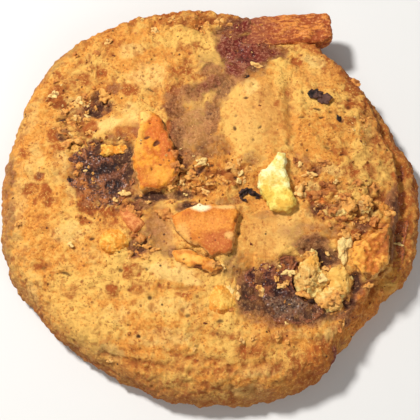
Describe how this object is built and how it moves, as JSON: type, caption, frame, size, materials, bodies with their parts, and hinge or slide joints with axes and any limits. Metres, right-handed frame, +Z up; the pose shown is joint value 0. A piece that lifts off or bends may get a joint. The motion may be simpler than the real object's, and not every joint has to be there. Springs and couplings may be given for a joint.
{
  "type": "strawberry cookie",
  "caption": "Thick round baked strawberry cookie with jam-filled hollows, a baked fruit strip, broken biscuit and cream pressed into its domed top, and a flat underside.",
  "frame": {"origin": "middle of the flat underside, on the surface that the cookie rests on", "axes": "+Z up out of the domed top; +X towards the low ledge; +Y towards the baked fruit strip at the back"},
  "size_m": [0.0878, 0.0853, 0.0172],
  "materials": {
    "dough": "matt, grainy baked crumb, browner at the rim",
    "jam": "sticky baked jam, half gloss",
    "fruit_strip": "half gloss, sticky orange-brown",
    "biscuit": "matt, smooth baked skin with crumbly broken edges",
    "cream": "matt, pale and chalky",
    "fruit_flake": "matt, pinkish",
    "crumb": "matt, coarse crumb"
  },
  "bodies": {
    "root": {"dough": "dough", "jam_left": "jam", "jam_right": "jam", "jam_top": "jam", "jam_seam": "jam", "fruit_strip": "fruit_strip", "biscuit_tall": "biscuit", "biscuit_centre": "biscuit", "biscuit_slab": "biscuit", "biscuit_right": "biscuit", "cream_chunk": "cream", "pink_flake": "fruit_flake", "nugget_left": "crumb", "nugget_front": "crumb", "crumb_lump": "crumb", "crumb_edge": "crumb", "crumb_right": "crumb"}
  },
  "joints": []
}
